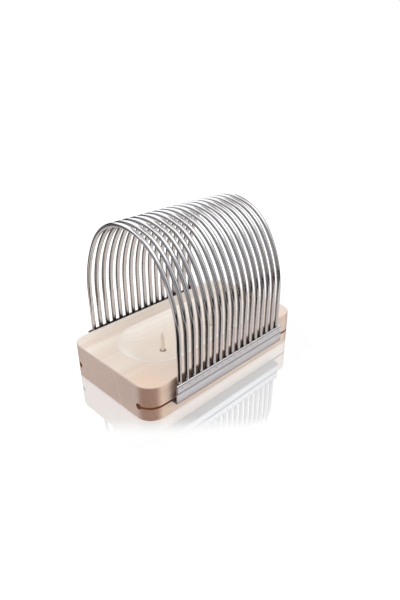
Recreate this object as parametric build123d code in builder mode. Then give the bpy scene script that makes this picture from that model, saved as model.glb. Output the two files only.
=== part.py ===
from build123d import *
from math import atan2, degrees, sqrt
import os

# Hasselback potato slicer.
# A potato lies in the dish of a thick wooden board, held from below by two spikes. A cage of
# wire hoops stands over it, and a knife goes down between each pair of hoops until the flat
# top of the board stops it, so the slices stay joined below the board's top.
# The hoops are welded inside two sheet-steel rails. The bottom flange of each rail runs in a
# kerf along the board's long side and ends in a rolled bead, which a round channel holds, so
# the cage slides along the board like a drawer and comes off at either end.
#
# X goes across the board, Y along it and Z up, with the front end at -Y.
# The origin is the centre of the board's underside.

# Driving dimensions of the board, mm
board_width = 100.0
board_length = 175.0
board_height = 30.4
board_corner = 14.0
board_edge = 1.2

# The dish is a trough with a ball-shaped hollow at each end
dish_width = 65.0
dish_length = 137.0
dish_depth = 13.2
dish_rim = 2.0

# Spikes in the dish, one towards each end
spike_spacing = 60.0
spike_diameter = 3.6
spike_height = 17.3
spike_point = 9.6
spike_tip = 0.5
socket_depth = 8.0
socket_sink = 5.8
socket_clearance = 0.05

# Hoops
hoop_count = 17
hoop_pitch = 7.2
wire_diameter = 3.6
leg_spacing = 108.8
spring_height = 61.0
cage_height = 135.8
crown_tightening = 8.0
weld_flat = 0.3

# Rails
sheet = 1.2
rail_top = 28.0
rail_margin = 4.8
rail_corner = 1.5
rail_deburr = 0.3
bend_inside = 0.8
bead_diameter = 4.2
crease_height = 19.6
crease_depth = 0.5
crease_radius = 1.6
weld_mark = 1.6
weld_mark_depth = 0.25
weld_mark_drop = 3.4

# Kerf and channel in the board, and the clearances in which the rails run
kerf_level = 12.0
channel_inset = 12.0
flange_clearance = 0.2
bead_clearance = 0.3
leg_gap = 0.4

# Where the cage stands along the board at rest, and how far its middle is from the board's
cage_y = -3.4

# Derived places of the board
dish_floor = board_height - dish_depth
dish_radius = (dish_width**2 / 4 + dish_depth**2) / (2 * dish_depth)
dish_straight = dish_length - dish_width
channel_x = board_width / 2 - channel_inset
kerf_thickness = sheet + 2 * flange_clearance
channel_diameter = bead_diameter + 2 * bead_clearance
spike_places = [-spike_spacing / 2, spike_spacing / 2]

# Derived places of the cage
wire_radius = wire_diameter / 2
leg_x = leg_spacing / 2
web_inner = leg_x + wire_radius - weld_flat
web_outer = web_inner + sheet
flange_bottom = kerf_level - sheet / 2
flange_top = kerf_level + sheet / 2
rail_length = (hoop_count - 1) * hoop_pitch + 2 * rail_margin
hoop_places = [cage_y + (i - (hoop_count - 1) / 2) * hoop_pitch for i in range(hoop_count)]
weld_height = rail_top - weld_mark_drop

# The crease is pressed inwards as a ridge, and the hoops' legs end just above it
ridge_radius = crease_radius + sheet
crease_centre = web_outer + crease_radius - crease_depth
ridge_half = sqrt(ridge_radius**2 - (ridge_radius - crease_depth) ** 2)
leg_end = crease_height + ridge_half + leg_gap

# A hoop's arch has three arcs: a wide one above each leg, and a tighter one over the crown
crown_radius = leg_x - crown_tightening
crown_centre = cage_height - wire_radius - crown_radius
rise = crown_centre - spring_height
shoulder_radius = (leg_x**2 + rise**2 - crown_radius**2) / (2 * crown_tightening)
shoulder_centre = leg_x - shoulder_radius
shoulder_turn = degrees(atan2(rise, -shoulder_centre))

os.makedirs("parts", exist_ok=True)


def finish(piece, name):
    """Names a finished piece and writes its STEP file."""
    piece.part.label = name
    export_step(piece.part, f"parts/{name}.step")


# Board: a solid block with rounded corners
with BuildPart() as board:
    with BuildSketch():
        RectangleRounded(board_width, board_length, board_corner)
    extrude(amount=board_height)
    outline = board.faces().filter_by(Axis.Z).edges()
    fillet(outline, board_edge)

    # The trough, then the ball-shaped hollow that closes each of its ends
    with BuildSketch(Plane.XZ.offset(-dish_straight / 2)):
        with Locations((0, dish_floor + dish_radius)):
            Circle(dish_radius)
    extrude(amount=dish_straight, mode=Mode.SUBTRACT)
    with Locations(
        (0, -dish_straight / 2, dish_floor + dish_radius),
        (0, dish_straight / 2, dish_floor + dish_radius),
    ):
        Sphere(dish_radius, mode=Mode.SUBTRACT)
    rim = board.faces().filter_by(Axis.Z).sort_by(Axis.Z)[-1].inner_wires()[0].edges()
    fillet(rim, dish_rim)

    # Keyhole section of both long sides, open at both ends of the board
    with BuildSketch(Plane.XZ.offset(board_length / 2)):
        with Locations((-channel_x, kerf_level), (channel_x, kerf_level)):
            Circle(channel_diameter / 2)
        with Locations((channel_x, kerf_level)):
            Rectangle(channel_inset, kerf_thickness, align=(Align.MIN, Align.CENTER))
        with Locations((-channel_x, kerf_level)):
            Rectangle(channel_inset, kerf_thickness, align=(Align.MAX, Align.CENTER))
    extrude(amount=-board_length, mode=Mode.SUBTRACT)

    # Countersunk sockets that the spikes stand in
    with Locations([(0, y, dish_floor) for y in spike_places]):
        CounterSinkHole(spike_diameter / 2 + socket_clearance, socket_sink / 2, socket_depth)

finish(board, "board")


# Spikes: a round shank that turns into a pointed ogive
for name, y in zip(("spike_front", "spike_back"), spike_places):
    with BuildPart() as spike:
        with BuildSketch(Plane.XZ.offset(-y)):
            with BuildLine():
                shank = Polyline(
                    (0, dish_floor + spike_height),
                    (0, dish_floor - socket_depth),
                    (spike_diameter / 2, dish_floor - socket_depth),
                    (spike_diameter / 2, dish_floor + spike_height - spike_point),
                )
                point = TangentArc(
                    shank @ 1,
                    (spike_tip / 2, dish_floor + spike_height),
                    tangent=(0, 1),
                )
                Line(point @ 1, shank @ 0)
            make_face()
        revolve(axis=Axis((0, y, 0), (0, 0, 1)))
    finish(spike, name)


# Hoops: one round wire each, bent into an arch, with a flat pressed on each leg by its weld
for number, y in enumerate(hoop_places, start=1):
    with BuildPart() as hoop:
        with BuildLine(Plane.XZ.offset(-y)) as bow:
            Line((leg_x, leg_end), (leg_x, spring_height))
            CenterArc((shoulder_centre, spring_height), shoulder_radius, 0, shoulder_turn)
            CenterArc((0, crown_centre), crown_radius, shoulder_turn, 180 - 2 * shoulder_turn)
            CenterArc(
                (-shoulder_centre, spring_height),
                shoulder_radius,
                180 - shoulder_turn,
                shoulder_turn,
            )
            Line((-leg_x, spring_height), (-leg_x, leg_end))
        with BuildSketch(Plane.XY.offset(leg_end)):
            with Locations((leg_x, y)):
                Circle(wire_radius)
        sweep(path=bow.wire())
        with BuildSketch(Plane.XY.offset(leg_end)):
            with Locations((web_inner, y)):
                Rectangle(wire_diameter, wire_diameter, align=(Align.MIN, Align.CENTER))
            with Locations((-web_inner, y)):
                Rectangle(wire_diameter, wire_diameter, align=(Align.MAX, Align.CENTER))
        extrude(amount=rail_top - leg_end, mode=Mode.SUBTRACT)
    finish(hoop, f"hoop_{number:02d}")


# Right rail: folded sheet with a pressed crease, a flange and a rolled bead
with BuildPart() as rail_right:
    with BuildSketch(Plane.XZ.offset(-cage_y)) as section:
        with BuildLine():
            Polyline(
                (web_outer, rail_top),
                (web_outer, flange_bottom),
                (channel_x, flange_bottom),
                (channel_x, flange_top),
                (web_inner, flange_top),
                (web_inner, rail_top),
                close=True,
            )
        make_face()
        fillet(section.vertices().group_by(Axis.X)[-1].sort_by(Axis.Y)[0], bend_inside + sheet)
        fillet(section.vertices().group_by(Axis.X)[-2].sort_by(Axis.Y)[0], bend_inside)

        # The bead is the flange's edge, rolled round until it meets itself
        with Locations((channel_x, kerf_level)):
            Circle(bead_diameter / 2)
            Circle(bead_diameter / 2 - sheet, mode=Mode.SUBTRACT)

        # The sheet keeps its thickness round the crease
        with Locations((crease_centre, crease_height)):
            Circle(ridge_radius)
        with Locations((web_outer, crease_height)):
            Rectangle(
                2 * ridge_radius,
                2 * ridge_radius,
                align=(Align.MIN, Align.CENTER),
                mode=Mode.SUBTRACT,
            )
        with Locations((crease_centre, crease_height)):
            Circle(crease_radius, mode=Mode.SUBTRACT)
    extrude(amount=rail_length / 2, both=True)

    # Rounded top corners and a deburred top edge
    top_face = rail_right.faces().filter_by(Axis.Z).sort_by(Axis.Z)[-1]
    fillet(top_face.edges().filter_by(Axis.X), rail_corner)
    top_face = rail_right.faces().filter_by(Axis.Z).sort_by(Axis.Z)[-1]
    chamfer(top_face.edges().filter_by(Axis.Y), rail_deburr)

    # A round weld mark outside each leg
    with BuildSketch(Plane.YZ.offset(web_outer)):
        with Locations([(y, weld_height) for y in hoop_places]):
            Circle(weld_mark / 2)
    extrude(amount=-weld_mark_depth, mode=Mode.SUBTRACT)

finish(rail_right, "rail_right")


# Left rail: the right one's mirror image
with BuildPart() as rail_left:
    mirror(rail_right.part, about=Plane.YZ)

finish(rail_left, "rail_left")
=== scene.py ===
import math

import bpy
from mathutils import Euler, Matrix, Vector


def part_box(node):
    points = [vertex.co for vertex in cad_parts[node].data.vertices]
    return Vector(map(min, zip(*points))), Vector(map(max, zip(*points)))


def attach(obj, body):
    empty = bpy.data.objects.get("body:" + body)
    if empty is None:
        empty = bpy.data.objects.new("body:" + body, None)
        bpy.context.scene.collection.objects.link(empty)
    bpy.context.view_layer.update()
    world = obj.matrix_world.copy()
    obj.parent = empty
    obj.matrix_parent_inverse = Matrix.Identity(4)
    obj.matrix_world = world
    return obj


# Hasselback potato slicer: a beech board with a dish and two spikes, and a sliding cage of
# polished wire hoops that are welded into two satin sheet-steel rails.
# X goes across the board, Y along it with the front end at -Y, and Z up. Lengths are metres.

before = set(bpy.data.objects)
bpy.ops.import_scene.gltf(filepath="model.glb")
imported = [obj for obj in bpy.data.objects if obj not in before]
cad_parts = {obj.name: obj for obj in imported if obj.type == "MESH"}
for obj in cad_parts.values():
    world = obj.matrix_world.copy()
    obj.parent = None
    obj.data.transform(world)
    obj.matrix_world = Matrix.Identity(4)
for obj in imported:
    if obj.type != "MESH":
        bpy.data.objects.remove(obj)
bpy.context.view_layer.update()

MM = 0.001

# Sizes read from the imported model
board_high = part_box("board")[1]
rail_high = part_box("rail_right")[1]
first_low, first_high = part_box("hoop_01")
second_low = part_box("hoop_02")[0]
hoop_names = sorted(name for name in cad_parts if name.startswith("hoop_"))
wire = first_high.y - first_low.y
hoop_pitch = second_low.y - first_low.y
first_place = (first_low.y + first_high.y) / 2
leg_end = first_low.z
leg_x = (first_high.x - first_low.x) / 2 - wire / 2

# The same in millimetres, for the patterns
BOARD_SIDE = board_high.x / MM
BOARD_TOP = board_high.z / MM
RAIL_TOP = rail_high.z / MM
PITCH = hoop_pitch / MM

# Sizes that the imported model's boxes don't show, in millimetres
BOARD_CORNER = 14.0
KERF_LEVEL = 12.0
KERF_HALF = 0.8
CHANNEL_X = 38.0
CHANNEL_RADIUS = 2.4
DISH_HALF = 32.5
TROUGH_HALF = 36.0
CREASE_LEVEL = 19.6
WELD_MARK_LEVEL = 24.6

# Weld beads between the legs and the rails
WELD_RADIUS = 0.55 * MM
WELD_LENGTH = 4.4 * MM
WELD_BESIDE = 1.5 * MM
WELD_RAISE = 0.35 * MM


def linear(hex_code):
    """An sRGB hex colour as linear RGBA."""
    shares = [int(hex_code[i : i + 2], 16) / 255 for i in (1, 3, 5)]
    return [s / 12.92 if s <= 0.04045 else ((s + 0.055) / 1.055) ** 2.4 for s in shares] + [1.0]


def add(tree, kind, values=None, **settings):
    """Adds a node. A value that is a socket is linked, and any other is set on the input."""
    node = tree.nodes.new(kind)
    for name, value in settings.items():
        setattr(node, name, value)
    for key, value in (values or {}).items():
        if isinstance(value, bpy.types.NodeSocket):
            tree.links.new(value, node.inputs[key])
        else:
            node.inputs[key].default_value = value
    return node


def blank(name):
    """A new material with an empty node tree."""
    material = bpy.data.materials.new(name)
    material.use_nodes = True
    material.node_tree.nodes.clear()
    return material, material.node_tree


def close(tree, shader):
    """Ends a material's tree in its surface output."""
    add(tree, "ShaderNodeOutputMaterial", {"Surface": shader})


def millimetres(tree):
    """The piece's own coordinates in millimetres."""
    spot = add(tree, "ShaderNodeTexCoord")
    return add(
        tree, "ShaderNodeVectorMath", {0: spot.outputs["Object"], "Scale": 1000.0}, operation="SCALE"
    ).outputs[0]


def grain(tree, mm, size, detail):
    """Noise in grains of that size, in millimetres along X, Y and Z."""
    place = add(tree, "ShaderNodeVectorMath", {0: mm, 1: [1 / s for s in size]}, operation="MULTIPLY")
    noise = add(tree, "ShaderNodeTexNoise", {"Vector": place.outputs[0], "Scale": 1.0, "Detail": detail})
    return noise.outputs["Fac"]


def fence(tree, value, low, high, soft):
    """1 between low and high, and 0 outside, with soft ends."""
    rise = add(
        tree,
        "ShaderNodeMapRange",
        {"Value": value, "From Min": low - soft / 2, "From Max": low + soft / 2},
        interpolation_type="SMOOTHSTEP",
    )
    fall = add(
        tree,
        "ShaderNodeMapRange",
        {"Value": value, "From Min": high - soft / 2, "From Max": high + soft / 2, "To Min": 1, "To Max": 0},
        interpolation_type="SMOOTHSTEP",
    )
    return add(
        tree, "ShaderNodeMath", {0: rise.outputs[0], 1: fall.outputs[0]}, operation="MULTIPLY"
    ).outputs[0]


def late_wood(tree, mm):
    """Share of late wood in the growth rings. The tree's heart lay beside and below the board,
    so the rings run nearly upright through it."""
    heart = (-141.0, 0.0, -26.0)
    ring_width = 2.6
    wander = 9.0
    warp = grain(tree, mm, (45, 260, 45), 2.0)
    from_heart = add(tree, "ShaderNodeVectorMath", {0: mm, 1: heart}, operation="SUBTRACT")
    flat = add(tree, "ShaderNodeVectorMath", {0: from_heart.outputs[0], 1: (1, 0, 1)}, operation="MULTIPLY")
    reach = add(tree, "ShaderNodeVectorMath", {0: flat.outputs[0]}, operation="LENGTH")
    bent = add(
        tree, "ShaderNodeMath", {0: warp, 1: wander, 2: reach.outputs["Value"]}, operation="MULTIPLY_ADD"
    )
    ring = add(tree, "ShaderNodeMath", {0: bent.outputs[0], 1: ring_width}, operation="DIVIDE")
    share = add(tree, "ShaderNodeMath", {0: ring.outputs[0]}, operation="FRACT")
    late = add(
        tree,
        "ShaderNodeMapRange",
        {"Value": share.outputs[0], "From Min": 0.55, "From Max": 0.97},
        interpolation_type="SMOOTHSTEP",
    )
    return late.outputs[0]


def planed_wood(tree, mm, x, y):
    """The planed top: broad streaks, darker to the right as painted shade, warm at the front
    right corner, where the heart side shows."""
    streak = grain(tree, mm, (8, 150, 8), 3.0)
    # Painted shade: the streaks are shifted darker towards the right
    painted_shade_right = fence(tree, x, 10.0, 90.0, 60.0)
    drift = add(tree, "ShaderNodeMath", {0: painted_shade_right, 1: 0.16, 2: streak}, operation="MULTIPLY_ADD")
    tone = add(tree, "ShaderNodeMapRange", {"Value": drift.outputs[0], "From Min": 0.32, "From Max": 0.74})
    streaked = add(
        tree,
        "ShaderNodeMix",
        {"Factor": tone.outputs[0], "A": linear("#eae1d4"), "B": linear("#dfcbbd")},
        data_type="RGBA",
    )
    warm_x = fence(tree, x, 26.0, 60.0, 22.0)
    warm_y = fence(tree, y, -100.0, -68.0, 16.0)
    warm = add(tree, "ShaderNodeMath", {0: warm_x, 1: warm_y}, operation="MULTIPLY")
    warm = add(tree, "ShaderNodeMath", {0: warm.outputs[0], 1: 0.6}, operation="MULTIPLY")
    planed = add(
        tree,
        "ShaderNodeMix",
        {"Factor": warm.outputs[0], "A": streaked.outputs["Result"], "B": linear("#e6c8b0")},
        data_type="RGBA",
    )
    return planed.outputs["Result"]


def dish_share(tree, x, y, z):
    """1 on the milled dish and its rim, and 0 on the rest of the board."""
    rim_reach = 3.0
    middle = add(tree, "ShaderNodeMath", {0: y}, operation="ABSOLUTE")
    past_trough = add(tree, "ShaderNodeMath", {0: middle.outputs[0], 1: TROUGH_HALF}, operation="SUBTRACT")
    past_end = add(tree, "ShaderNodeMath", {0: past_trough.outputs[0], 1: 0.0}, operation="MAXIMUM")
    place = add(tree, "ShaderNodeCombineXYZ", {0: x, 1: past_end.outputs[0]})
    from_middle = add(tree, "ShaderNodeVectorMath", {0: place.outputs[0]}, operation="LENGTH")
    dished = fence(tree, from_middle.outputs["Value"], -9.0, DISH_HALF + rim_reach, 4.0)
    below_top = fence(tree, z, KERF_LEVEL, BOARD_TOP - 0.05, 0.1)
    return add(tree, "ShaderNodeMath", {0: dished, 1: below_top}, operation="MULTIPLY").outputs[0]


def milled_wood(tree, way):
    """The dish, milled last and sanded: paler than the planed top, most of all on its walls, and a
    little less on the wall that faces right. The paleness is painted light that evens out the
    shade in the dish."""
    steep = add(
        tree,
        "ShaderNodeMapRange",
        {"Value": way.outputs[2], "From Min": 0.76, "From Max": 0.96, "To Min": 1.0, "To Max": 0.0},
        interpolation_type="SMOOTHSTEP",
    )
    turned_right = add(
        tree,
        "ShaderNodeMapRange",
        {"Value": way.outputs[0], "From Min": 0.05, "From Max": 0.5, "To Min": 1.0, "To Max": 0.45},
        interpolation_type="SMOOTHSTEP",
    )
    # Painted light: the walls are painted paler, less so where they face right
    wall = add(
        tree, "ShaderNodeMath", {0: steep.outputs[0], 1: turned_right.outputs[0]}, operation="MULTIPLY"
    )
    milled = add(
        tree,
        "ShaderNodeMix",
        {"Factor": wall.outputs[0], "A": linear("#e9dccf"), "B": linear("#fefbf6")},
        data_type="RGBA",
    )
    return milled.outputs["Result"]


def end_grain(tree, mm, x, z):
    """Sawn end grain: mottled by its pores, crossed by a pale line of resin, ruddy to the left."""
    line_lean = 7 / 26
    line_low = 17.5
    line_high = 18.1
    pores = grain(tree, mm, (1.1, 60, 1.1), 4.0)
    mottle = add(tree, "ShaderNodeMapRange", {"Value": pores, "From Min": 0.35, "From Max": 0.65})
    mottled = add(
        tree,
        "ShaderNodeMix",
        {"Factor": mottle.outputs[0], "A": linear("#d3bfb5"), "B": linear("#c9b4aa")},
        data_type="RGBA",
    )
    across = add(tree, "ShaderNodeMath", {0: z, 1: line_lean, 2: x}, operation="MULTIPLY_ADD")
    line = fence(tree, across.outputs[0], line_low, line_high, 0.7)
    lined = add(
        tree,
        "ShaderNodeMix",
        {"Factor": line, "A": mottled.outputs["Result"], "B": linear("#e3d0b4")},
        data_type="RGBA",
    )
    ruddy = fence(tree, x, -60.0, -42.0, 14.0)
    ruddy = add(tree, "ShaderNodeMath", {0: ruddy, 1: 0.55}, operation="MULTIPLY")
    sawn = add(
        tree,
        "ShaderNodeMix",
        {"Factor": ruddy.outputs[0], "A": lined.outputs["Result"], "B": linear("#d8b8a8")},
        data_type="RGBA",
    )
    return sawn.outputs["Result"]


def kerf_reach(tree, out, z):
    """Distance from the edge of the kerf and channel, in millimetres, and negative in them."""
    from_channel = add(tree, "ShaderNodeMath", {0: out, 1: CHANNEL_X}, operation="SUBTRACT")
    from_kerf = add(tree, "ShaderNodeMath", {0: z, 1: KERF_LEVEL}, operation="SUBTRACT")
    place = add(tree, "ShaderNodeCombineXYZ", {0: from_channel.outputs[0], 2: from_kerf.outputs[0]})
    from_middle = add(tree, "ShaderNodeVectorMath", {0: place.outputs[0]}, operation="LENGTH")
    past_channel = add(
        tree, "ShaderNodeMath", {0: from_middle.outputs["Value"], 1: CHANNEL_RADIUS}, operation="SUBTRACT"
    )
    off_kerf = add(tree, "ShaderNodeMath", {0: from_kerf.outputs[0]}, operation="ABSOLUTE")
    past_kerf = add(tree, "ShaderNodeMath", {0: off_kerf.outputs[0], 1: KERF_HALF}, operation="SUBTRACT")
    inboard = add(tree, "ShaderNodeMath", {0: from_channel.outputs[0], 1: -1.0}, operation="MULTIPLY")
    past_slot = add(
        tree, "ShaderNodeMath", {0: past_kerf.outputs[0], 1: inboard.outputs[0]}, operation="MAXIMUM"
    )
    return add(
        tree, "ShaderNodeMath", {0: past_slot.outputs[0], 1: past_channel.outputs[0]}, operation="MINIMUM"
    ).outputs[0]


def beech():
    """Beech, planed, fine-sanded and wiped with oil: pale with soft streaks along the grain,
    greyer and pinker on the end grain, brown where a corner cuts the fibres aslant, which is partly
    painted shade on the rounded corners. Fibres and flecks are drawn a little coarser than real
    ones, so that they show."""
    material, tree = blank("beech_sanded_oiled")
    mm = millimetres(tree)
    x, y, z = add(tree, "ShaderNodeSeparateXYZ", {0: mm}).outputs
    out = add(tree, "ShaderNodeMath", {0: x}, operation="ABSOLUTE").outputs[0]
    facing = add(tree, "ShaderNodeTexCoord")
    way = add(tree, "ShaderNodeSeparateXYZ", {0: facing.outputs["Normal"]})

    milled = dish_share(tree, x, y, z)
    wood = add(
        tree,
        "ShaderNodeMix",
        {"Factor": milled, "A": planed_wood(tree, mm, x, y), "B": milled_wood(tree, way)},
        data_type="RGBA",
    )

    # Tone of the face by its direction: end grain, and corners cut aslant, whose brown is partly
    # painted shade on the rounded corners. Most of it is left out of the dish.
    along = add(tree, "ShaderNodeMath", {0: way.outputs[1]}, operation="ABSOLUTE")
    across = add(tree, "ShaderNodeMath", {0: way.outputs[0]}, operation="ABSOLUTE")
    off_dish = add(tree, "ShaderNodeMath", {0: milled, 1: -0.8, 2: 1.0}, operation="MULTIPLY_ADD")
    end = add(
        tree,
        "ShaderNodeMapRange",
        {"Value": along.outputs[0], "From Min": 0.15, "From Max": 0.8},
        interpolation_type="SMOOTHSTEP",
    )
    end = add(tree, "ShaderNodeMath", {0: end.outputs[0], 1: off_dish.outputs[0]}, operation="MULTIPLY")
    slant = add(tree, "ShaderNodeMath", {0: along.outputs[0], 1: across.outputs[0]}, operation="MULTIPLY")
    aslant = add(
        tree,
        "ShaderNodeMapRange",
        {"Value": slant.outputs[0], "From Min": 0.0, "From Max": 0.44},
        interpolation_type="SMOOTHSTEP",
    )
    aslant = add(
        tree, "ShaderNodeMath", {0: aslant.outputs[0], 1: off_dish.outputs[0]}, operation="MULTIPLY"
    )
    ended = add(
        tree,
        "ShaderNodeMix",
        {"Factor": end.outputs[0], "A": wood.outputs["Result"], "B": end_grain(tree, mm, x, z)},
        data_type="RGBA",
    )
    # Partly painted shade: the rounded corners are browned
    aslant_brown_and_shade = add(
        tree,
        "ShaderNodeMix",
        {"Factor": aslant.outputs[0], "A": ended.outputs["Result"], "B": linear("#ae8b7a")},
        data_type="RGBA",
    )

    # Late wood, fibres and flecks darken the tone a little
    fibre = grain(tree, mm, (1 / 2.2, 14, 1 / 2.2), 3.0)
    fleck = grain(tree, mm, (1 / 1.6, 3, 2.2), 1.0)
    flecks = add(
        tree,
        "ShaderNodeMapRange",
        {"Value": fleck, "From Min": 0.62, "From Max": 0.72},
        interpolation_type="SMOOTHSTEP",
    )
    fine = add(
        tree,
        "ShaderNodeMapRange",
        {"Value": fibre, "From Min": 0.3, "From Max": 0.7, "To Min": 0.965, "To Max": 1.03},
    )
    late = add(tree, "ShaderNodeMath", {0: late_wood(tree, mm), 1: -0.05, 2: 1.0}, operation="MULTIPLY_ADD")
    dash = add(tree, "ShaderNodeMath", {0: flecks.outputs[0], 1: -0.05, 2: 1.0}, operation="MULTIPLY_ADD")
    shade = add(tree, "ShaderNodeMath", {0: late.outputs[0], 1: fine.outputs[0]}, operation="MULTIPLY")
    shade = add(tree, "ShaderNodeMath", {0: shade.outputs[0], 1: dash.outputs[0]}, operation="MULTIPLY")
    toned = add(
        tree,
        "ShaderNodeVectorMath",
        {0: aslant_brown_and_shade.outputs["Result"], "Scale": shade.outputs[0]},
        operation="SCALE",
    )

    # Painted shade: the kerf and the channel that the cutter made, with a thin rim around them, are painted
    # dark brown
    kerf_shade = add(
        tree,
        "ShaderNodeMapRange",
        {"Value": kerf_reach(tree, out, z), "From Min": 0.02, "From Max": 0.45, "To Min": 1.0, "To Max": 0.0},
        interpolation_type="SMOOTHSTEP",
    )
    kerf_shaded = add(
        tree,
        "ShaderNodeMix",
        {"Factor": kerf_shade.outputs[0], "A": toned.outputs[0], "B": linear("#7b4b31")},
        data_type="RGBA",
    )

    # Painted shade: the narrow gap behind the rails is painted brown where little light reaches, and its
    # depth and the sockets in the dish near black
    open_share = add(tree, "ShaderNodeAmbientOcclusion", {"Distance": 8 * MM}, samples=12)
    above_kerf = fence(tree, z, KERF_LEVEL + 1.6, RAIL_TOP + 12.0, 1.2)
    by_rail = fence(tree, out, BOARD_SIDE - 1.0, BOARD_SIDE + 10.0, 0.8)
    by_rail = add(tree, "ShaderNodeMath", {0: by_rail, 1: above_kerf}, operation="MULTIPLY")
    gap_shade_amount = add(
        tree,
        "ShaderNodeMapRange",
        {"Value": open_share.outputs["AO"], "From Min": 0.5, "From Max": 0.95, "To Min": 0.75, "To Max": 0.0},
        interpolation_type="SMOOTHSTEP",
    )
    gap_shade = add(tree, "ShaderNodeMath", {0: gap_shade_amount.outputs[0], 1: by_rail.outputs[0]}, operation="MULTIPLY")
    gap_shaded = add(
        tree,
        "ShaderNodeMix",
        {"Factor": gap_shade.outputs[0], "A": kerf_shaded.outputs["Result"], "B": linear("#8e6a55")},
        data_type="RGBA",
    )
    deep = add(
        tree,
        "ShaderNodeMapRange",
        {"Value": open_share.outputs["AO"], "From Min": 0.22, "From Max": 0.6, "To Min": 0.95, "To Max": 0.0},
        interpolation_type="SMOOTHSTEP",
    )
    shade_places = add(tree, "ShaderNodeMath", {0: by_rail.outputs[0], 1: milled}, operation="MAXIMUM")
    shaded = add(tree, "ShaderNodeMath", {0: deep.outputs[0], 1: shade_places.outputs[0]}, operation="MULTIPLY")
    colour = add(
        tree,
        "ShaderNodeMix",
        {"Factor": shaded.outputs[0], "A": gap_shaded.outputs["Result"], "B": linear("#2c1b14")},
        data_type="RGBA",
    )

    rough = add(
        tree,
        "ShaderNodeMapRange",
        {"Value": fibre, "From Min": 0.3, "From Max": 0.7, "To Min": 0.5, "To Max": 0.62},
    )
    relief = add(tree, "ShaderNodeBump", {"Height": fibre, "Strength": 0.35, "Distance": 0.06 * MM})
    shader = add(
        tree,
        "ShaderNodeBsdfPrincipled",
        {
            "Base Color": colour.outputs["Result"],
            "Roughness": rough.outputs[0],
            "Normal": relief.outputs[0],
            "IOR": 1.5,
        },
    )
    close(tree, shader.outputs[0])
    return material


def polished_wire():
    """Stainless wire, drawn and electropolished: a bright mirror with a faint haze. Where wires
    stand close beside each other, painted shade darkens them, standing in for their mirror images
    of one another's dark sides."""
    material, tree = blank("stainless_wire_polished")
    mm = millimetres(tree)
    haze = add(tree, "ShaderNodeTexNoise", {"Vector": mm, "Scale": 0.35, "Detail": 3.0})
    rough = add(
        tree,
        "ShaderNodeMapRange",
        {"Value": haze.outputs["Fac"], "From Min": 0.3, "From Max": 0.7, "To Min": 0.11, "To Max": 0.17},
    )
    # Painted shade: the wire's colour is darkened where neighbouring wires stand close
    open_share = add(tree, "ShaderNodeAmbientOcclusion", {"Distance": 10 * MM}, samples=16)
    between = add(
        tree,
        "ShaderNodeMapRange",
        {"Value": open_share.outputs["AO"], "From Min": 0.69, "From Max": 0.76, "To Min": 0.9, "To Max": 0.0},
        interpolation_type="SMOOTHSTEP",
    )

    # The painted shade is weaker over the crown and just above the rails, where more light gets in between
    # them
    height = add(tree, "ShaderNodeSeparateXYZ", {0: mm}).outputs[2]
    crown = add(
        tree,
        "ShaderNodeMapRange",
        {"Value": height, "From Min": 74.0, "From Max": 98.0, "To Min": 1.0, "To Max": 0.35},
        interpolation_type="SMOOTHSTEP",
    )
    feet = add(
        tree,
        "ShaderNodeMapRange",
        {"Value": height, "From Min": RAIL_TOP, "From Max": 46.0, "To Min": 0.6, "To Max": 1.0},
        interpolation_type="SMOOTHSTEP",
    )
    kept = add(tree, "ShaderNodeMath", {0: crown.outputs[0], 1: feet.outputs[0]}, operation="MULTIPLY")
    dark = add(tree, "ShaderNodeMath", {0: between.outputs[0], 1: kept.outputs[0]}, operation="MULTIPLY")
    tone = add(
        tree,
        "ShaderNodeMix",
        {"Factor": dark.outputs[0], "A": linear("#dddde0"), "B": linear("#26252a")},
        data_type="RGBA",
    )
    shader = add(
        tree,
        "ShaderNodeBsdfPrincipled",
        {"Base Color": tone.outputs["Result"], "Metallic": 1.0, "Roughness": rough.outputs[0]},
    )
    close(tree, shader.outputs[0])
    return material


def sheet_shade_and_weld_tint(tree, mm, height):
    """Share of painted shade in the crease, in a line below it, along the bend and under the top
    edge, and of the burnt tint on the weld marks."""
    mark_radius = 0.7
    crease = fence(tree, height, CREASE_LEVEL + 0.3, CREASE_LEVEL + 2.0, 0.9)
    lower = fence(tree, height, CREASE_LEVEL - 4.6, CREASE_LEVEL - 4.1, 0.5)
    foot = fence(tree, height, 0.0, KERF_LEVEL + 1.6, 3.0)
    edge = fence(tree, height, RAIL_TOP - 1.4, RAIL_TOP - 0.7, 0.5)

    # The marks repeat with the hoops
    along = add(tree, "ShaderNodeSeparateXYZ", {0: mm}).outputs[1]
    steps = add(
        tree,
        "ShaderNodeMapRange",
        {
            "Value": along,
            "From Min": first_place / MM,
            "From Max": first_place / MM + PITCH,
            "To Min": 0.5,
            "To Max": 1.5,
        },
        clamp=False,
    )
    step = add(tree, "ShaderNodeMath", {0: steps.outputs[0]}, operation="FRACT")
    beside = add(
        tree, "ShaderNodeMath", {0: step.outputs[0], 1: PITCH, 2: -PITCH / 2}, operation="MULTIPLY_ADD"
    )
    above = add(tree, "ShaderNodeMath", {0: height, 1: WELD_MARK_LEVEL}, operation="SUBTRACT")
    from_mark = add(tree, "ShaderNodeCombineXYZ", {0: beside.outputs[0], 1: above.outputs[0]})
    reach = add(tree, "ShaderNodeVectorMath", {0: from_mark.outputs[0]}, operation="LENGTH")
    mark = fence(tree, reach.outputs["Value"], -9.0, mark_radius, 0.5)

    shade_and_tint = 0.0
    for place, share in ((crease, 0.6), (lower, 0.3), (foot, 0.8), (edge, 0.8), (mark, 0.4)):
        shade_and_tint = add(tree, "ShaderNodeMath", {0: place, 1: share, 2: shade_and_tint}, operation="MULTIPLY_ADD").outputs[0]
    return shade_and_tint


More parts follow.
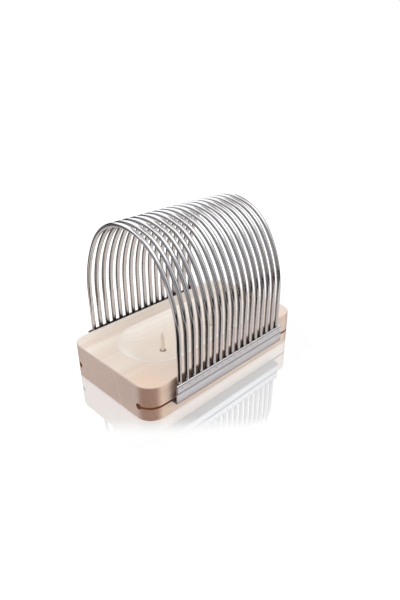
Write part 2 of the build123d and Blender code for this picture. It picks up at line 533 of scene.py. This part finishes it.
def satin_sheet():
    """Stainless sheet with a satin finish: soft reflections, drawn out along the rail by fine
    scratches. They are drawn coarser than real ones, so that they show."""
    material, tree = blank("stainless_sheet_satin")
    mm = millimetres(tree)
    scratches = grain(tree, mm, (1 / 3, 25, 1 / 3), 4.0)
    height = add(tree, "ShaderNodeSeparateXYZ", {0: mm}).outputs[2]
    streaks = add(tree, "ShaderNodeMapRange", {"Value": scratches, "From Min": 0.35, "From Max": 0.65})
    brushed = add(
        tree,
        "ShaderNodeMix",
        {"Factor": streaks.outputs[0], "A": linear("#f7faff"), "B": linear("#dfe2ec")},
        data_type="RGBA",
    )
    # Painted shade along the crease, bend and top edge, and burnt tint on the weld marks
    shaded_and_tinted = add(
        tree,
        "ShaderNodeMix",
        {"Factor": sheet_shade_and_weld_tint(tree, mm, height), "A": brushed.outputs["Result"], "B": linear("#56545c")},
        data_type="RGBA",
    )

    # Painted highlight: the cut edge at the top is painted white, and it is matt from deburring
    top_edge = fence(tree, height, RAIL_TOP - 0.4, RAIL_TOP + 9.0, 0.1)
    edge_highlighted = add(
        tree,
        "ShaderNodeMix",
        {"Factor": top_edge, "A": shaded_and_tinted.outputs["Result"], "B": linear("#ffffff")},
        data_type="RGBA",
    )
    rough = add(
        tree,
        "ShaderNodeMapRange",
        {"Value": scratches, "From Min": 0.3, "From Max": 0.7, "To Min": 0.26, "To Max": 0.38},
    )
    rough = add(
        tree, "ShaderNodeMath", {0: top_edge, 1: 0.25, 2: rough.outputs[0]}, operation="MULTIPLY_ADD"
    )
    relief = add(tree, "ShaderNodeBump", {"Height": scratches, "Strength": 0.3, "Distance": 0.04 * MM})
    shader = add(
        tree,
        "ShaderNodeBsdfPrincipled",
        {
            "Base Color": edge_highlighted.outputs["Result"],
            "Metallic": 1.0,
            "Roughness": rough.outputs[0],
            "Normal": relief.outputs[0],
        },
    )
    close(tree, shader.outputs[0])
    return material


def turned_spike():
    """Stainless rod, turned to a point on a lathe: satin, with fine rings from the tool."""
    material, tree = blank("stainless_rod_turned")
    mm = millimetres(tree)
    rings = add(
        tree,
        "ShaderNodeTexWave",
        {"Vector": mm, "Scale": 0.9, "Distortion": 0.4, "Detail": 1.0},
        bands_direction="Z",
    )
    relief = add(
        tree, "ShaderNodeBump", {"Height": rings.outputs["Fac"], "Strength": 0.3, "Distance": 0.03 * MM}
    )
    shader = add(
        tree,
        "ShaderNodeBsdfPrincipled",
        {
            "Base Color": linear("#f2ebe0"),
            "Metallic": 1.0,
            "Roughness": 0.5,
            "Normal": relief.outputs[0],
        },
    )
    close(tree, shader.outputs[0])
    return material


def weld_metal():
    """Weld beads, brushed clean: silver-grey and a little rough, with straw heat tint."""
    material, tree = blank("stainless_weld_brushed")
    mm = millimetres(tree)
    cloud = add(tree, "ShaderNodeTexNoise", {"Vector": mm, "Scale": 0.9, "Detail": 3.0})
    tint = add(
        tree,
        "ShaderNodeMix",
        {"Factor": cloud.outputs["Fac"], "A": linear("#dcdbe0"), "B": linear("#b8ab97")},
        data_type="RGBA",
    )
    rough = add(
        tree,
        "ShaderNodeMapRange",
        {"Value": cloud.outputs["Fac"], "From Min": 0.3, "From Max": 0.7, "To Min": 0.25, "To Max": 0.4},
    )
    shader = add(
        tree,
        "ShaderNodeBsdfPrincipled",
        {"Base Color": tint.outputs["Result"], "Metallic": 1.0, "Roughness": rough.outputs[0]},
    )
    close(tree, shader.outputs[0])
    return material


def weld_tree():
    """Two beads beside each leg, in the corner between wire and sheet, in a row along Y."""
    tree = bpy.data.node_groups.new("weld_row", "GeometryNodeTree")
    tree.is_modifier = True
    face = tree.interface
    for label, kind, value in (
        ("Legs", "NodeSocketInt", len(hoop_names)),
        ("Pitch", "NodeSocketFloat", hoop_pitch),
        ("Side", "NodeSocketFloat", leg_x + wire / 2),
        ("First", "NodeSocketFloat", first_place),
        ("Level", "NodeSocketFloat", leg_end),
        ("Beside", "NodeSocketFloat", WELD_BESIDE),
        ("Radius", "NodeSocketFloat", WELD_RADIUS),
        ("Length", "NodeSocketFloat", WELD_LENGTH),
        ("Seed", "NodeSocketInt", 1),
        ("Material", "NodeSocketMaterial", None),
    ):
        item = face.new_socket(label, in_out="INPUT", socket_type=kind)
        if value is not None:
            item.default_value = value
    face.new_socket("Geometry", in_out="OUTPUT", socket_type="NodeSocketGeometry")
    given = tree.nodes.new("NodeGroupInput").outputs

    # A place on both sides of each leg
    step = add(tree, "ShaderNodeCombineXYZ", {1: given["Pitch"]})
    both = add(tree, "GeometryNodeJoinGeometry")
    for sign in (-1, 1):
        place = add(
            tree, "ShaderNodeMath", {0: given["Beside"], 1: sign, 2: given["First"]}, operation="MULTIPLY_ADD"
        )
        start = add(
            tree, "ShaderNodeCombineXYZ", {0: given["Side"], 1: place.outputs[0], 2: given["Level"]}
        )
        row = add(
            tree,
            "GeometryNodeMeshLine",
            {"Count": given["Legs"], "Start Location": start.outputs[0], "Offset": step.outputs[0]},
        )
        tree.links.new(row.outputs[0], both.inputs[0])

    # The bead: a long drop with a rippled skin
    bead = add(tree, "GeometryNodeMeshIcoSphere", {"Radius": given["Radius"], "Subdivisions": 4})
    longer = add(tree, "ShaderNodeMath", {0: given["Length"], 1: given["Radius"]}, operation="DIVIDE")
    half = add(tree, "ShaderNodeMath", {0: longer.outputs[0], 1: 2.0}, operation="DIVIDE")
    shape = add(tree, "ShaderNodeCombineXYZ", {0: 1.0, 1: 1.0, 2: half.outputs[0]})
    drawn = add(tree, "GeometryNodeTransform", {"Geometry": bead.outputs["Mesh"], "Scale": shape.outputs[0]})
    ripple = add(tree, "ShaderNodeTexNoise", {"Scale": 1.4 / MM, "Detail": 1.0})
    lift = add(
        tree,
        "ShaderNodeMapRange",
        {"Value": ripple.outputs["Fac"], "To Min": -0.1 * MM, "To Max": 0.1 * MM},
    )
    outward = add(tree, "GeometryNodeInputNormal")
    push = add(
        tree, "ShaderNodeVectorMath", {0: outward.outputs[0], "Scale": lift.outputs[0]}, operation="SCALE"
    )
    rippled = add(
        tree, "GeometryNodeSetPosition", {"Geometry": drawn.outputs[0], "Offset": push.outputs[0]}
    )
    size = add(
        tree,
        "FunctionNodeRandomValue",
        {"Min": (0.85, 0.85, 0.9), "Max": (1.1, 1.1, 1.05), "Seed": given["Seed"]},
        data_type="FLOAT_VECTOR",
    )
    placed = add(
        tree,
        "GeometryNodeInstanceOnPoints",
        {"Points": both.outputs[0], "Instance": rippled.outputs[0], "Scale": size.outputs[0]},
    )
    real = add(tree, "GeometryNodeRealizeInstances", {0: placed.outputs[0]})
    smooth = add(tree, "GeometryNodeSetShadeSmooth", {"Geometry": real.outputs[0]})
    metal = add(
        tree, "GeometryNodeSetMaterial", {"Geometry": smooth.outputs[0], "Material": given["Material"]}
    )
    result = add(tree, "NodeGroupOutput")
    tree.links.new(metal.outputs[0], result.inputs[0])
    return tree


def grown(name, tree, values):
    """A plain mesh object that a Geometry Nodes tree makes."""
    seed_mesh = bpy.data.meshes.new(name + "_seed")
    maker = bpy.data.objects.new(name + "_seed", seed_mesh)
    bpy.context.scene.collection.objects.link(maker)
    modifier = maker.modifiers.new("nodes", "NODES")
    modifier.node_group = tree
    for item in tree.interface.items_tree:
        if item.in_out == "INPUT" and item.name in values:
            modifier[item.identifier] = values[item.name]
    bpy.context.view_layer.update()
    made = maker.evaluated_get(bpy.context.evaluated_depsgraph_get())
    mesh = bpy.data.meshes.new_from_object(made)
    bpy.data.objects.remove(maker)
    bpy.data.meshes.remove(seed_mesh)
    mesh.name = name
    piece = bpy.data.objects.new(name, mesh)
    bpy.context.scene.collection.objects.link(piece)
    return piece


def dress(nodes, material):
    """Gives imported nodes' slots their finished material."""
    for node in nodes:
        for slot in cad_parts[node].material_slots:
            slot.material = material


dress(["board"], beech())
dress(hoop_names, polished_wire())
dress(["rail_right", "rail_left"], satin_sheet())
dress(["spike_front", "spike_back"], turned_spike())

welded = weld_metal()
row_of_welds = weld_tree()
for name, side, seed in (("welds_right", 1, 3), ("welds_left", -1, 8)):
    welds = grown(
        name,
        row_of_welds,
        {
            "Legs": len(hoop_names),
            "Pitch": hoop_pitch,
            "Side": side * (leg_x + wire / 2 - WELD_RADIUS),
            "First": first_place,
            "Level": (leg_end + rail_high.z) / 2 + WELD_RAISE,
            "Beside": WELD_BESIDE,
            "Seed": seed,
            "Material": welded,
        },
    )
    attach(welds, "cage")


# Black cloths on the table, which only polished steel shows: two corners in millimetres, and how
# black. The first three give the right legs and the rail their dark lines, and the others the
# crown and the left shoulders.
CLOTHS = (
    ((-20, -270), (66, -96), 1.0),
    ((58, -270), (270, -64), 1.0),
    ((320, -900), (1500, 900), 1.0),
    ((-1500, -900), (-280, 900), 0.85),
    ((-1500, -900), (-165, -100), 0.75),
    ((-1500, -900), (-105, -150), 0.75),
)
CLOTH_EDGE = 8 * MM

# How far from the board the table's mirror image fades out, and how strong it is
MIRROR_FADES = 60 * MM
MIRROR_ENDS = 100 * MM
MIRROR_STRENGTH = 0.44
CORNER_FADES = 84 * MM
CORNER_ENDS = 106 * MM


def cloth_share(tree, place):
    """How black the cloths make the table at a place."""
    x, y, _ = add(tree, "ShaderNodeSeparateXYZ", {0: place}).outputs
    most = 0.0
    for (x0, y0), (x1, y1), depth in CLOTHS:
        in_x = fence(tree, x, x0 * MM, x1 * MM, CLOTH_EDGE)
        in_y = fence(tree, y, y0 * MM, y1 * MM, CLOTH_EDGE)
        lies = add(tree, "ShaderNodeMath", {0: in_x, 1: in_y}, operation="MULTIPLY")
        lies = add(tree, "ShaderNodeMath", {0: lies.outputs[0], 1: depth}, operation="MULTIPLY")
        most = add(tree, "ShaderNodeMath", {0: lies.outputs[0], 1: most}, operation="MAXIMUM").outputs[0]
    return most


def table():
    """A white glossy table. The camera sees it white, with a mirror image of what is near."""
    material, tree = blank("white_table_glossy")
    place = add(tree, "ShaderNodeTexCoord").outputs["Object"]
    half = (board_high.x - BOARD_CORNER * MM, board_high.y - BOARD_CORNER * MM, 0)
    reach = add(tree, "ShaderNodeVectorMath", {0: place}, operation="ABSOLUTE")
    past = add(tree, "ShaderNodeVectorMath", {0: reach.outputs[0], 1: half}, operation="SUBTRACT")
    clear = add(tree, "ShaderNodeVectorMath", {0: past.outputs[0], 1: (0, 0, 0)}, operation="MAXIMUM")
    away = add(tree, "ShaderNodeVectorMath", {0: clear.outputs[0]}, operation="LENGTH").outputs["Value"]
    near = add(
        tree,
        "ShaderNodeMapRange",
        {
            "Value": away,
            "From Min": MIRROR_FADES,
            "From Max": MIRROR_ENDS,
            "To Min": MIRROR_STRENGTH,
            "To Max": 0.0,
        },
        interpolation_type="SMOOTHSTEP",
    )

    # The mirror image ends sooner towards the corner at the front right
    slant = math.sqrt(0.5)
    corner = add(tree, "ShaderNodeVectorMath", {0: place, 1: (slant, -slant, 0)}, operation="DOT_PRODUCT")
    ahead = add(
        tree,
        "ShaderNodeMapRange",
        {
            "Value": corner.outputs["Value"],
            "From Min": CORNER_FADES,
            "From Max": CORNER_ENDS,
            "To Min": 1.0,
            "To Max": 0.0,
        },
        interpolation_type="SMOOTHSTEP",
    )
    mirror_share = add(
        tree, "ShaderNodeMath", {0: near.outputs[0], 1: ahead.outputs[0]}, operation="MULTIPLY"
    )

    # Further off it is plain white, with a little of the object's shadow
    glow = add(
        tree,
        "ShaderNodeMapRange",
        {"Value": away, "From Min": 40 * MM, "From Max": 110 * MM, "To Min": 1.0, "To Max": 1.35},
    )
    white = add(tree, "ShaderNodeEmission", {"Color": (1, 1, 1, 1), "Strength": glow.outputs[0]})
    lit = add(tree, "ShaderNodeBsdfDiffuse", {"Color": linear("#f4f4f4")})
    bare = add(tree, "ShaderNodeMixShader", {0: 0.25, 1: white.outputs[0], 2: lit.outputs[0]})
    mirror = add(tree, "ShaderNodeBsdfGlossy", {"Color": (1, 1, 1, 1), "Roughness": 0.04})
    shown = add(
        tree, "ShaderNodeMixShader", {0: mirror_share.outputs[0], 1: bare.outputs[0], 2: mirror.outputs[0]}
    )

    # To all other rays it is matt and a little darker, with the cloths where steel mirrors it
    ray = add(tree, "ShaderNodeLightPath")
    mirrored = add(
        tree,
        "ShaderNodeMath",
        {0: cloth_share(tree, place), 1: ray.outputs["Is Glossy Ray"]},
        operation="MULTIPLY",
    )
    laid = add(
        tree,
        "ShaderNodeMix",
        {"Factor": mirrored.outputs[0], "A": linear("#d2cac5"), "B": linear("#1c1b1f")},
        data_type="RGBA",
    )
    dim = add(tree, "ShaderNodeBsdfDiffuse", {"Color": laid.outputs["Result"]})
    surface = add(
        tree,
        "ShaderNodeMixShader",
        {0: ray.outputs["Is Camera Ray"], 1: dim.outputs[0], 2: shown.outputs[0]},
    )
    close(tree, surface.outputs[0])
    return material


def card_paint(name, hex_code, level=1.0):
    """Even card of one colour, for polished steel to mirror."""
    material, tree = blank(name)
    shader = add(tree, "ShaderNodeEmission", {"Color": linear(hex_code), "Strength": level})
    close(tree, shader.outputs[0])
    return material


def direction(azimuth, elevation):
    """Unit vector. Azimuth 0 is the front (-Y), and 90 is the right (+X)."""
    a = math.radians(azimuth)
    e = math.radians(elevation)
    return Vector((math.sin(a) * math.cos(e), -math.cos(a) * math.cos(e), math.sin(e)))


# What lamps and cards face
AIM = Vector((0, 0, 50)) * MM

# Corners of a unit panel, from its middle
CORNERS = ((-1, -1), (1, -1), (1, 1), (-1, 1))


def softbox(name, azimuth, elevation, distance, width, height, level, mirrored=False):
    """A soft lamp that looks as bright as a colour of that level. It faces the object.
    One that isn't mirrored lights wood and table, and polished surfaces don't show it."""
    lamp = bpy.data.lights.new(name, "AREA")
    lamp.shape = "RECTANGLE"
    lamp.size = width
    lamp.size_y = height
    lamp.energy = level * math.pi * width * height
    item = bpy.data.objects.new(name, lamp)
    item.location = AIM + direction(azimuth, elevation) * distance
    item.rotation_euler = direction(azimuth, elevation).to_track_quat("Z", "Y").to_euler()
    item.visible_glossy = mirrored
    bpy.context.scene.collection.objects.link(item)
    return item


def panel(name, corners, material):
    """A flat stage panel through four corners."""
    mesh = bpy.data.meshes.new(name)
    mesh.from_pydata([tuple(corner) for corner in corners], [], [(0, 1, 2, 3)])
    mesh.materials.append(material)
    item = bpy.data.objects.new(name, mesh)
    bpy.context.scene.collection.objects.link(item)
    return item


def facing_card(name, azimuth, elevation, distance, width, height, paint):
    """A card that stands and faces the object. Only polished surfaces show it."""
    out = direction(azimuth, elevation)
    side = Vector((0, 0, 1)).cross(out).normalized()
    up = out.cross(side)
    middle = AIM + out * distance
    corners = [middle + side * width / 2 * a + up * height / 2 * b for a, b in CORNERS]
    item = panel(name, corners, paint)
    item.visible_camera = False
    item.visible_diffuse = False
    item.visible_shadow = False


black = card_paint("black_card", "#1c1b1f")
white = card_paint("white_card", "#ffffff")
bright = card_paint("lit_card", "#ffffff", 1.45)
pale = card_paint("pale_card", "#e6e6e8")
silver = card_paint("silver_card", "#c9c9cd")
slate = card_paint("slate_card", "#77767b")

TABLE_HALF = 3.0
TABLE_LEVEL = -0.2 * MM
panel("table_top", [(a * TABLE_HALF, b * TABLE_HALF, TABLE_LEVEL) for a, b in CORNERS], table())

# Lamps: azimuth and elevation in degrees, distance, width and height in metres, and level
overhead = softbox("lamp_top", 60, 72, 1.2, 1.3, 1.0, 1.15, mirrored=True)
overhead.visible_diffuse = False
softbox("lamp_key", 60, 72, 1.2, 1.3, 1.0, 0.6)
softbox("lamp_left", -75, 14, 1.2, 1.9, 0.7, 1.2)
softbox("lamp_right", 105, 25, 1.0, 1.0, 0.6, 1.25)
softbox("lamp_front", -20, 20, 1.0, 0.8, 0.6, 1.55)
fill = softbox("lamp_fill", 125, 60, 2.5, 1.0, 1.0, 11.2)
fill.data.use_shadow = False

# Cards: the same, with a paint. The first three give the crown its white bands with a dark line,
# and the left shoulders their grey. Those at the right, at the back and in front give the right
# shoulders theirs, and the ceiling and the backdrop stand in for a white room.
facing_card("card_left", -75, 44, 1.1, 2.2, 0.7, bright)
facing_card("stripe_left", -72, 17, 1.0, 1.6, 0.26, black)
facing_card("skirt_left", -72, 0, 1.05, 1.75, 0.4, slate)
facing_card("card_right", 86, 26, 1.05, 0.6, 0.6, silver)
facing_card("card_back", 126, 34, 1.0, 0.7, 0.6, white)
facing_card("stripe_back", 163, 22, 1.0, 0.45, 0.5, black)
facing_card("ceiling", 70, 58, 1.45, 2.3, 1.2, pale)
facing_card("card_front", 8, 16, 1.0, 0.22, 0.5, black)
facing_card("card_shoulder", 36, 40, 1.1, 0.5, 0.3, white)
facing_card("card_camera", 62, 14, 1.0, 0.4, 0.45, black)
facing_card("backdrop", -134, 20, 1.7, 3.2, 1.5, white)

# The room: white where the camera looks, and an even pale grey that lights the object
ROOM_LEVEL = 0.42
world = bpy.data.worlds.new("studio")
bpy.context.scene.world = world
world.use_nodes = True
world.node_tree.nodes.clear()
ray = add(world.node_tree, "ShaderNodeLightPath")
level = add(
    world.node_tree,
    "ShaderNodeMapRange",
    {"Value": ray.outputs["Is Camera Ray"], "To Min": ROOM_LEVEL, "To Max": 1.0},
)
sky = add(world.node_tree, "ShaderNodeBackground", {"Color": (1, 1, 1, 1), "Strength": level.outputs[0]})
add(world.node_tree, "ShaderNodeOutputWorld", {"Surface": sky.outputs[0]})

# The camera, at the photograph's view. Place in metres, angles in degrees, lens in millimetres.
CAMERA_PLACE = Vector((267.5, -253.2, 242.4)) * MM
CAMERA_YAW = 44.95
CAMERA_PITCH = 27.12
CAMERA_ROLL = -0.22
CAMERA_LENS = 29.06
CAMERA_SENSOR = 36.0

view = bpy.data.cameras.new("camera")
view.sensor_width = CAMERA_SENSOR
view.lens = CAMERA_LENS
view.clip_start = 10 * MM
camera = bpy.data.objects.new("camera", view)
turn = Euler((math.radians(90 - CAMERA_PITCH), 0, math.radians(CAMERA_YAW))).to_matrix()
roll = Matrix.Rotation(math.radians(CAMERA_ROLL), 3, "Z")
camera.rotation_euler = (turn @ roll).to_euler()
camera.location = CAMERA_PLACE
bpy.context.scene.collection.objects.link(camera)
bpy.context.scene.camera = camera
bpy.context.scene.view_settings.view_transform = "Standard"
